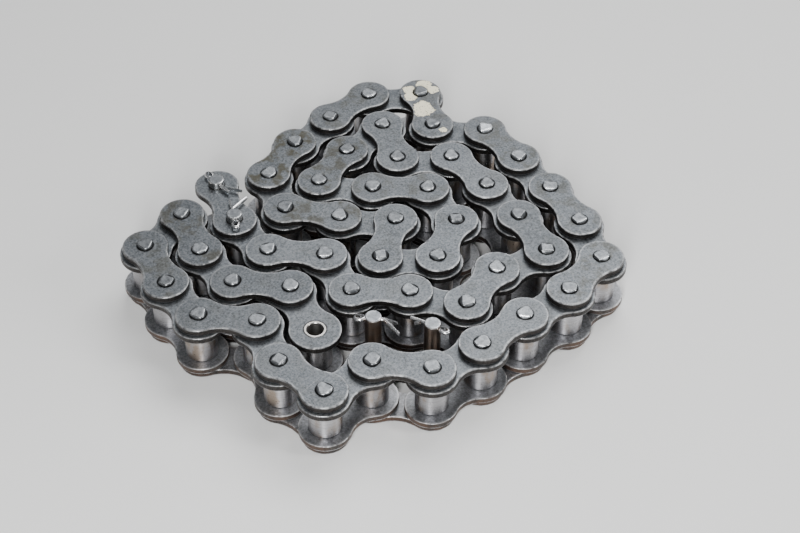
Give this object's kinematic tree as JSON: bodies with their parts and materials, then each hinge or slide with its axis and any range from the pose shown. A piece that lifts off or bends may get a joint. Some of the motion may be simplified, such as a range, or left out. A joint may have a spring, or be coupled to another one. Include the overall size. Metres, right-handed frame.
{
  "type": "roller chain",
  "caption": "Heavy single-strand roller chain laid in a loose coil on its side, with a cottered connecting link fitted at one end and a spare one standing in the coil.",
  "frame": {"origin": "on the axis of the open bushing at the chain's first end, half-way across the chain's width", "axes": "+Z along every pin, square to the coil; the coil lies in XY and the first link points to +Y and a little to -X"},
  "size_m": [0.4507, 0.4385, 0.0682],
  "materials": {
    "plate_steel": "oiled, heat-treated, fine matte",
    "roller_steel": "ground and burnished",
    "pin_steel": "ground",
    "cotter_wire": "bright zinc"
  },
  "bodies": {
    "outer_link_18": {"outer_link_18": "plate_steel"},
    "inner_link_01": {"inner_link_01": "plate_steel"},
    "outer_link_02": {"outer_link_02": "plate_steel"},
    "inner_link_03": {"inner_link_03": "plate_steel"},
    "outer_link_04": {"outer_link_04": "plate_steel"},
    "inner_link_05": {"inner_link_05": "plate_steel"},
    "outer_link_06": {"outer_link_06": "plate_steel"},
    "inner_link_07": {"inner_link_07": "plate_steel"},
    "outer_link_08": {"outer_link_08": "plate_steel"},
    "inner_link_09": {"inner_link_09": "plate_steel"},
    "outer_link_10": {"outer_link_10": "plate_steel"},
    "inner_link_11": {"inner_link_11": "plate_steel"},
    "outer_link_12": {"outer_link_12": "plate_steel"},
    "inner_link_13": {"inner_link_13": "plate_steel"},
    "outer_link_14": {"outer_link_14": "plate_steel"},
    "inner_link_15": {"inner_link_15": "plate_steel"},
    "outer_link_16": {"outer_link_16": "plate_steel"},
    "inner_link_17": {"inner_link_17": "plate_steel"},
    "inner_link_19": {"inner_link_19": "plate_steel"},
    "outer_link_20": {"outer_link_20": "plate_steel"},
    "inner_link_21": {"inner_link_21": "plate_steel"},
    "outer_link_22": {"outer_link_22": "plate_steel"},
    "inner_link_23": {"inner_link_23": "plate_steel"},
    "outer_link_24": {"outer_link_24": "plate_steel"},
    "inner_link_25": {"inner_link_25": "plate_steel"},
    "outer_link_26": {"outer_link_26": "plate_steel"},
    "inner_link_27": {"inner_link_27": "plate_steel"},
    "outer_link_28": {"outer_link_28": "plate_steel"},
    "inner_link_29": {"inner_link_29": "plate_steel"},
    "outer_link_30": {"outer_link_30": "plate_steel"},
    "inner_link_31": {"inner_link_31": "plate_steel"},
    "outer_link_32": {"outer_link_32": "plate_steel"},
    "inner_link_33": {"inner_link_33": "plate_steel"},
    "outer_link_34": {"outer_link_34": "plate_steel"},
    "inner_link_35": {"inner_link_35": "plate_steel"},
    "outer_link_36": {"outer_link_36": "plate_steel"},
    "inner_link_37": {"inner_link_37": "plate_steel"},
    "outer_link_38": {"outer_link_38": "plate_steel"},
    "inner_link_39": {"inner_link_39": "plate_steel"},
    "outer_link_40": {"outer_link_40": "plate_steel"},
    "inner_link_41": {"inner_link_41": "plate_steel"},
    "outer_link_42": {"outer_link_42": "plate_steel"},
    "inner_link_43": {"inner_link_43": "plate_steel"},
    "outer_link_44": {"outer_link_44": "plate_steel"},
    "inner_link_45": {"inner_link_45": "plate_steel"},
    "outer_link_46": {"outer_link_46": "plate_steel"},
    "inner_link_47": {"inner_link_47": "plate_steel"},
    "outer_link_48": {"outer_link_48": "plate_steel"},
    "inner_link_49": {"inner_link_49": "plate_steel"},
    "connecting_link": {"connecting_pin_link": "pin_steel", "connecting_cover_plate": "plate_steel", "connecting_cotter_1": "cotter_wire", "connecting_cotter_2": "cotter_wire"},
    "spare_link": {"spare_pin_link": "pin_steel", "spare_cotter_1": "cotter_wire", "spare_cotter_2": "cotter_wire"},
    "roller_01a": {"roller_01a": "roller_steel"},
    "roller_01b": {"roller_01b": "roller_steel"},
    "roller_49a": {"roller_49a": "roller_steel"},
    "roller_49b": {"roller_49b": "roller_steel"}
  },
  "joints": [
    {"name": "pin_02_hinge", "type": "hinge", "parent": "outer_link_02", "child": "inner_link_01", "pos_m": [-0.02306, 0.04526, 0], "axis": [0, 0, 1], "range_deg": [0, 54]},
    {"name": "pin_03_hinge", "type": "hinge", "parent": "inner_link_03", "child": "outer_link_02", "pos_m": [-0.07348, 0.05145, 0], "axis": [0, 0, 1], "range_deg": [-53, 0]},
    {"name": "pin_04_hinge", "type": "hinge", "parent": "outer_link_04", "child": "inner_link_03", "pos_m": [-0.10545, 0.09093, 0], "axis": [0, 0, 1], "range_deg": [-25, 0]},
    {"name": "pin_05_hinge", "type": "hinge", "parent": "inner_link_05", "child": "outer_link_04", "pos_m": [-0.12612, 0.13734, 0], "axis": [0, 0, 1], "range_deg": [0, 103]},
    {"name": "pin_06_hinge", "type": "hinge", "parent": "outer_link_06", "child": "inner_link_05", "pos_m": [-0.15452, 0.09523, 0], "axis": [0, 0, 1], "range_deg": [0, 46]},
    {"name": "pin_07_hinge", "type": "hinge", "parent": "inner_link_07", "child": "outer_link_06", "pos_m": [-0.13146, 0.04996, 0], "axis": [0, 0, 1], "range_deg": [0, 3]},
    {"name": "pin_08_hinge", "type": "hinge", "parent": "outer_link_08", "child": "inner_link_07", "pos_m": [-0.09949, 0.01048, 0], "axis": [0, 0, 1], "range_deg": [0, 42]},
    {"name": "pin_09_hinge", "type": "hinge", "parent": "inner_link_09", "child": "outer_link_08", "pos_m": [-0.04907, 0.00429, 0], "axis": [0, 0, 1], "range_deg": [-58, 0]},
    {"name": "pin_10_hinge", "type": "hinge", "parent": "outer_link_10", "child": "inner_link_09", "pos_m": [-0.02841, -0.04212, 0], "axis": [0, 0, 1], "range_deg": [0, 32]},
    {"name": "pin_11_hinge", "type": "hinge", "parent": "inner_link_11", "child": "outer_link_10", "pos_m": [0.01051, -0.07477, 0], "axis": [0, 0, 1], "range_deg": [0, 93]},
    {"name": "pin_12_hinge", "type": "hinge", "parent": "outer_link_12", "child": "inner_link_11", "pos_m": [0.04885, -0.04144, 0], "axis": [0, 0, 1], "range_deg": [-39, 0]},
    {"name": "pin_13_hinge", "type": "hinge", "parent": "inner_link_13", "child": "outer_link_12", "pos_m": [0.09902, -0.04939, 0], "axis": [0, 0, 1], "range_deg": [0, 59]},
    {"name": "pin_14_hinge", "type": "hinge", "parent": "outer_link_14", "child": "inner_link_13", "pos_m": [0.14114, -0.02098, 0], "axis": [0, 0, 1], "range_deg": [0, 25]},
    {"name": "pin_15_hinge", "type": "hinge", "parent": "inner_link_15", "child": "outer_link_14", "pos_m": [0.17889, 0.01301, 0], "axis": [0, 0, 1], "range_deg": [0, 12]},
    {"name": "pin_16_hinge", "type": "hinge", "parent": "outer_link_16", "child": "inner_link_15", "pos_m": [0.21892, 0.04429, 0], "axis": [0, 0, 1], "range_deg": [0, 29]},
    {"name": "pin_17_hinge", "type": "hinge", "parent": "inner_link_17", "child": "outer_link_16", "pos_m": [0.2502, 0.08432, 0], "axis": [0, 0, 1], "range_deg": [0, 71]},
    {"name": "pin_18_hinge", "type": "hinge", "parent": "outer_link_18", "child": "inner_link_17", "pos_m": [0.2345, 0.13263, 0], "axis": [0, 0, 1], "range_deg": [0, 21]},
    {"name": "pin_19_hinge", "type": "hinge", "parent": "outer_link_18", "child": "inner_link_19", "pos_m": [0.21065, 0.17749, 0], "axis": [0, 0, 1], "range_deg": [-8, 0]},
    {"name": "pin_20_hinge", "type": "hinge", "parent": "inner_link_19", "child": "outer_link_20", "pos_m": [0.18373, 0.22057, 0], "axis": [0, 0, 1], "range_deg": [-6, 0]},
    {"name": "pin_21_hinge", "type": "hinge", "parent": "outer_link_20", "child": "inner_link_21", "pos_m": [0.15316, 0.26114, 0], "axis": [0, 0, 1], "range_deg": [-39, 0]},
    {"name": "pin_22_hinge", "type": "hinge", "parent": "inner_link_21", "child": "outer_link_22", "pos_m": [0.10285, 0.26821, 0], "axis": [0, 0, 1], "range_deg": [0, 81]},
    {"name": "pin_23_hinge", "type": "hinge", "parent": "outer_link_22", "child": "inner_link_23", "pos_m": [0.09142, 0.3177, 0], "axis": [0, 0, 1], "range_deg": [-76, 0]},
    {"name": "pin_24_hinge", "type": "hinge", "parent": "inner_link_23", "child": "outer_link_24", "pos_m": [0.04075, 0.31416, 0], "axis": [0, 0, 1], "range_deg": [-33, 0]},
    {"name": "pin_25_hinge", "type": "hinge", "parent": "outer_link_24", "child": "inner_link_25", "pos_m": [0.0042, 0.27887, 0], "axis": [0, 0, 1], "range_deg": [0, 3]},
    {"name": "pin_26_hinge", "type": "hinge", "parent": "inner_link_25", "child": "outer_link_26", "pos_m": [-0.02845, 0.23996, 0], "axis": [0, 0, 1], "range_deg": [-5, 0]},
    {"name": "pin_27_hinge", "type": "hinge", "parent": "outer_link_26", "child": "inner_link_27", "pos_m": [-0.05072, 0.1943, 0], "axis": [0, 0, 1], "range_deg": [-34, 0]},
    {"name": "pin_28_hinge", "type": "hinge", "parent": "inner_link_27", "child": "outer_link_28", "pos_m": [-0.03251, 0.14687, 0], "axis": [0, 0, 1], "range_deg": [-39, 0]},
    {"name": "pin_29_hinge", "type": "hinge", "parent": "outer_link_28", "child": "inner_link_29", "pos_m": [0.01718, 0.13631, 0], "axis": [0, 0, 1], "range_deg": [0, 15]},
    {"name": "pin_30_hinge", "type": "hinge", "parent": "inner_link_29", "child": "outer_link_30", "pos_m": [0.06785, 0.13277, 0], "axis": [0, 0, 1], "range_deg": [0, 130]},
    {"name": "pin_31_hinge", "type": "hinge", "parent": "outer_link_30", "child": "inner_link_31", "pos_m": [0.0547, 0.0837, 0], "axis": [0, 0, 1], "range_deg": [-69, 0]},
    {"name": "pin_32_hinge", "type": "hinge", "parent": "inner_link_31", "child": "outer_link_32", "pos_m": [0.1055, 0.08458, 0], "axis": [0, 0, 1], "range_deg": [-24, 0]},
    {"name": "pin_33_hinge", "type": "hinge", "parent": "outer_link_32", "child": "inner_link_33", "pos_m": [0.12287, 0.13232, 0], "axis": [0, 0, 1], "range_deg": [-17, 0]},
    {"name": "pin_34_hinge", "type": "hinge", "parent": "inner_link_33", "child": "outer_link_34", "pos_m": [0.09747, 0.17631, 0], "axis": [0, 0, 1], "range_deg": [-46, 0]},
    {"name": "pin_35_hinge", "type": "hinge", "parent": "outer_link_34", "child": "inner_link_35", "pos_m": [0.04667, 0.17631, 0], "axis": [0, 0, 1], "range_deg": [0, 11]},
    {"name": "pin_36_hinge", "type": "hinge", "parent": "inner_link_35", "child": "outer_link_36", "pos_m": [-0.00336, 0.18514, 0], "axis": [0, 0, 1], "range_deg": [0, 95]},
    {"name": "pin_37_hinge", "type": "hinge", "parent": "outer_link_36", "child": "inner_link_37", "pos_m": [0.02127, 0.22957, 0], "axis": [0, 0, 1], "range_deg": [-16, 0]},
    {"name": "pin_38_hinge", "type": "hinge", "parent": "inner_link_37", "child": "outer_link_38", "pos_m": [0.0546, 0.26791, 0], "axis": [0, 0, 1], "range_deg": [0, 87]},
    {"name": "pin_39_hinge", "type": "hinge", "parent": "outer_link_38", "child": "inner_link_39", "pos_m": [0.06945, 0.21933, 0], "axis": [0, 0, 1], "range_deg": [-103, 0]},
    {"name": "pin_40_hinge", "type": "hinge", "parent": "inner_link_39", "child": "outer_link_40", "pos_m": [0.12022, 0.2211, 0], "axis": [0, 0, 1], "range_deg": [0, 28]},
    {"name": "pin_41_hinge", "type": "hinge", "parent": "outer_link_40", "child": "inner_link_41", "pos_m": [0.15219, 0.18162, 0], "axis": [0, 0, 1], "range_deg": [-9, 0]},
    {"name": "pin_42_hinge", "type": "hinge", "parent": "inner_link_41", "child": "outer_link_42", "pos_m": [0.17986, 0.13902, 0], "axis": [0, 0, 1], "range_deg": [-3, 0]},
    {"name": "pin_43_hinge", "type": "hinge", "parent": "outer_link_42", "child": "inner_link_43", "pos_m": [0.20213, 0.09336, 0], "axis": [0, 0, 1], "range_deg": [0, 91]},
    {"name": "pin_44_hinge", "type": "hinge", "parent": "inner_link_43", "child": "outer_link_44", "pos_m": [0.15727, 0.06951, 0], "axis": [0, 0, 1], "range_deg": [-23, 0]},
    {"name": "pin_45_hinge", "type": "hinge", "parent": "outer_link_44", "child": "inner_link_45", "pos_m": [0.12961, 0.0269, 0], "axis": [0, 0, 1], "range_deg": [0, 87]},
    {"name": "pin_46_hinge", "type": "hinge", "parent": "inner_link_45", "child": "outer_link_46", "pos_m": [0.08077, 0.04091, 0], "axis": [0, 0, 1], "range_deg": [-4, 0]},
    {"name": "pin_47_hinge", "type": "hinge", "parent": "outer_link_46", "child": "inner_link_47", "pos_m": [0.02998, 0.04179, 0], "axis": [0, 0, 1], "range_deg": [0, 72]},
    {"name": "pin_48_hinge", "type": "hinge", "parent": "inner_link_47", "child": "outer_link_48", "pos_m": [0.00535, 0.08622, 0], "axis": [0, 0, 1], "range_deg": [-54, 0]},
    {"name": "pin_49_hinge", "type": "hinge", "parent": "outer_link_48", "child": "inner_link_49", "pos_m": [-0.04517, 0.09153, 0], "axis": [0, 0, 1], "range_deg": [0, 43]},
    {"name": "pin_50_hinge", "type": "hinge", "parent": "inner_link_49", "child": "connecting_link", "pos_m": [-0.07782, 0.13045, 0], "axis": [0, 0, 1], "range_deg": [0, 16]},
    {"name": "roller_01a_spin", "type": "hinge", "parent": "inner_link_01", "child": "roller_01a", "pos_m": [0, 0, 0], "axis": [0, 0, 1], "continuous": true},
    {"name": "roller_01b_spin", "type": "hinge", "parent": "inner_link_01", "child": "roller_01b", "pos_m": [-0.02306, 0.04526, 0], "axis": [0, 0, 1], "continuous": true},
    {"name": "roller_49a_spin", "type": "hinge", "parent": "inner_link_49", "child": "roller_49a", "pos_m": [-0.04517, 0.09153, 0], "axis": [0, 0, 1], "continuous": true},
    {"name": "roller_49b_spin", "type": "hinge", "parent": "inner_link_49", "child": "roller_49b", "pos_m": [-0.07782, 0.13045, 0], "axis": [0, 0, 1], "continuous": true},
    {"name": "spare_link_lift", "type": "slide", "parent": "outer_link_12", "child": "spare_link", "axis": [0, 0, 1], "range_m": [0, 0.09]}
  ],
  "couplings": [
    {"joint": "pin_02_hinge", "follows": "pin_36_hinge", "ratio": 0.56842},
    {"joint": "pin_03_hinge", "follows": "pin_36_hinge", "ratio": -0.55789},
    {"joint": "pin_04_hinge", "follows": "pin_36_hinge", "ratio": -0.26316},
    {"joint": "pin_05_hinge", "follows": "pin_36_hinge", "ratio": 1.0842},
    {"joint": "pin_06_hinge", "follows": "pin_36_hinge", "ratio": 0.48421},
    {"joint": "pin_07_hinge", "follows": "pin_36_hinge", "ratio": 0.03158},
    {"joint": "pin_08_hinge", "follows": "pin_36_hinge", "ratio": 0.44211},
    {"joint": "pin_09_hinge", "follows": "pin_36_hinge", "ratio": -0.61053},
    {"joint": "pin_10_hinge", "follows": "pin_36_hinge", "ratio": 0.33684},
    {"joint": "pin_11_hinge", "follows": "pin_36_hinge", "ratio": 0.97895},
    {"joint": "pin_12_hinge", "follows": "pin_36_hinge", "ratio": -0.41053},
    {"joint": "pin_13_hinge", "follows": "pin_36_hinge", "ratio": 0.62105},
    {"joint": "pin_14_hinge", "follows": "pin_36_hinge", "ratio": 0.26316},
    {"joint": "pin_15_hinge", "follows": "pin_36_hinge", "ratio": 0.12632},
    {"joint": "pin_16_hinge", "follows": "pin_36_hinge", "ratio": 0.30526},
    {"joint": "pin_17_hinge", "follows": "pin_36_hinge", "ratio": 0.74737},
    {"joint": "pin_18_hinge", "follows": "pin_36_hinge", "ratio": 0.22105},
    {"joint": "pin_19_hinge", "follows": "pin_36_hinge", "ratio": -0.08421},
    {"joint": "pin_20_hinge", "follows": "pin_36_hinge", "ratio": -0.06316},
    {"joint": "pin_21_hinge", "follows": "pin_36_hinge", "ratio": -0.41053},
    {"joint": "pin_22_hinge", "follows": "pin_36_hinge", "ratio": 0.85263},
    {"joint": "pin_23_hinge", "follows": "pin_36_hinge", "ratio": -0.8},
    {"joint": "pin_24_hinge", "follows": "pin_36_hinge", "ratio": -0.34737},
    {"joint": "pin_25_hinge", "follows": "pin_36_hinge", "ratio": 0.03158},
    {"joint": "pin_26_hinge", "follows": "pin_36_hinge", "ratio": -0.05263},
    {"joint": "pin_27_hinge", "follows": "pin_36_hinge", "ratio": -0.35789},
    {"joint": "pin_28_hinge", "follows": "pin_36_hinge", "ratio": -0.41053},
    {"joint": "pin_29_hinge", "follows": "pin_36_hinge", "ratio": 0.15789},
    {"joint": "pin_30_hinge", "follows": "pin_36_hinge", "ratio": 1.3684},
    {"joint": "pin_31_hinge", "follows": "pin_36_hinge", "ratio": -0.72632},
    {"joint": "pin_32_hinge", "follows": "pin_36_hinge", "ratio": -0.25263},
    {"joint": "pin_33_hinge", "follows": "pin_36_hinge", "ratio": -0.17895},
    {"joint": "pin_34_hinge", "follows": "pin_36_hinge", "ratio": -0.48421},
    {"joint": "pin_35_hinge", "follows": "pin_36_hinge", "ratio": 0.11579},
    {"joint": "pin_37_hinge", "follows": "pin_36_hinge", "ratio": -0.16842},
    {"joint": "pin_38_hinge", "follows": "pin_36_hinge", "ratio": 0.91579},
    {"joint": "pin_39_hinge", "follows": "pin_36_hinge", "ratio": -1.0842},
    {"joint": "pin_40_hinge", "follows": "pin_36_hinge", "ratio": 0.29474},
    {"joint": "pin_41_hinge", "follows": "pin_36_hinge", "ratio": -0.09474},
    {"joint": "pin_42_hinge", "follows": "pin_36_hinge", "ratio": -0.03158},
    {"joint": "pin_43_hinge", "follows": "pin_36_hinge", "ratio": 0.95789},
    {"joint": "pin_44_hinge", "follows": "pin_36_hinge", "ratio": -0.24211},
    {"joint": "pin_45_hinge", "follows": "pin_36_hinge", "ratio": 0.91579},
    {"joint": "pin_46_hinge", "follows": "pin_36_hinge", "ratio": -0.04211},
    {"joint": "pin_47_hinge", "follows": "pin_36_hinge", "ratio": 0.75789},
    {"joint": "pin_48_hinge", "follows": "pin_36_hinge", "ratio": -0.56842},
    {"joint": "pin_49_hinge", "follows": "pin_36_hinge", "ratio": 0.45263},
    {"joint": "pin_50_hinge", "follows": "pin_36_hinge", "ratio": 0.16842}
  ]
}
